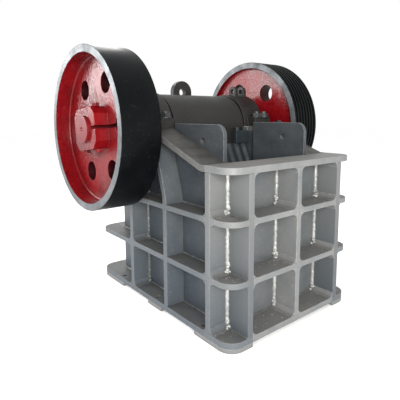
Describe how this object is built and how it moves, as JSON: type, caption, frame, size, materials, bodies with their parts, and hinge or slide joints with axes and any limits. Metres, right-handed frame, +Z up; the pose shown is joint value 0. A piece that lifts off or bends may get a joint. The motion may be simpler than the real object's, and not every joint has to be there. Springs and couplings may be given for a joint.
{
  "type": "jaw crusher",
  "caption": "Small stationary jaw crusher with a welded ribbed frame, a moving jaw hung on an eccentric shaft, a heavy flywheel and a grooved belt pulley.",
  "frame": {"origin": "on the floor, in the middle of the six foundation bolts", "axes": "+X along the shaft from the flywheel to the belt pulley, +Y from the fixed jaw's wall to the back of the machine, +Z up"},
  "size_m": [1.324, 1.1839, 1.2879],
  "materials": {
    "frame_primer": "matt grey primer over hot-rolled plate, with weld beads",
    "bearing_paint": "dark grey-brown paint on castings",
    "pitman_paint": "dark grey-brown paint, half matt",
    "liner_steel": "dark blue-grey paint on plate",
    "jaw_iron": "as-cast manganese steel, dark",
    "toggle_iron": "as-cast",
    "bolt_steel": "dull zinc and paint",
    "spring_steel": "black spring steel",
    "wheel_red": "glossy red over rough casting, rims black with bare faces"
  },
  "bodies": {
    "frame": {"side_plate_left": "frame_primer", "side_plate_right": "frame_primer", "front_wall": "frame_primer", "rear_wall": "frame_primer", "base_flange_left": "frame_primer", "base_flange_right": "frame_primer", "base_flange_front": "frame_primer", "base_flange_rear": "frame_primer", "foot_pads": "frame_primer", "top_flange_front": "frame_primer", "top_flange_left": "frame_primer", "top_flange_right": "frame_primer", "top_flange_rear": "frame_primer", "front_rib": "frame_primer", "rear_ribs": "frame_primer", "side_ribs_left": "frame_primer", "side_ribs_right": "frame_primer", "shelves_front": "frame_primer", "shelves_rear": "frame_primer", "shelves_left": "frame_primer", "shelves_right": "frame_primer", "bearing_seat_left": "bearing_paint", "bearing_seat_right": "bearing_paint", "bearing_cap_left": "bearing_paint", "bearing_cap_right": "bearing_paint", "cap_nuts_left": "bolt_steel", "cap_nuts_right": "bolt_steel", "fixed_jaw_plate": "jaw_iron", "cheek_plate_left": "liner_steel", "cheek_plate_right": "liner_steel", "toggle_seat": "frame_primer", "toggle_plate": "toggle_iron", "tension_spring": "spring_steel", "tension_rod": "bolt_steel"},
    "shaft": {"eccentric_shaft": "wheel_red", "flywheel": "wheel_red", "grooved_pulley": "wheel_red", "flywheel_clamp_bolts": "wheel_red", "pulley_clamp_bolts": "wheel_red"},
    "moving_jaw": {"pitman": "pitman_paint", "moving_jaw_plate": "jaw_iron", "jaw_clamp_blocks": "liner_steel", "lifting_eye": "pitman_paint"}
  },
  "joints": [
    {"name": "shaft_spin", "type": "hinge", "parent": "frame", "child": "shaft", "pos_m": [0, 0.232, 0.891], "axis": [1, 0, 0], "continuous": true},
    {"name": "jaw_orbit", "type": "hinge", "parent": "shaft", "child": "moving_jaw", "pos_m": [0, 0.232, 0.881], "axis": [1, 0, 0], "continuous": true}
  ],
  "couplings": [
    {"joint": "jaw_orbit", "follows": "shaft_spin", "ratio": -1}
  ]
}
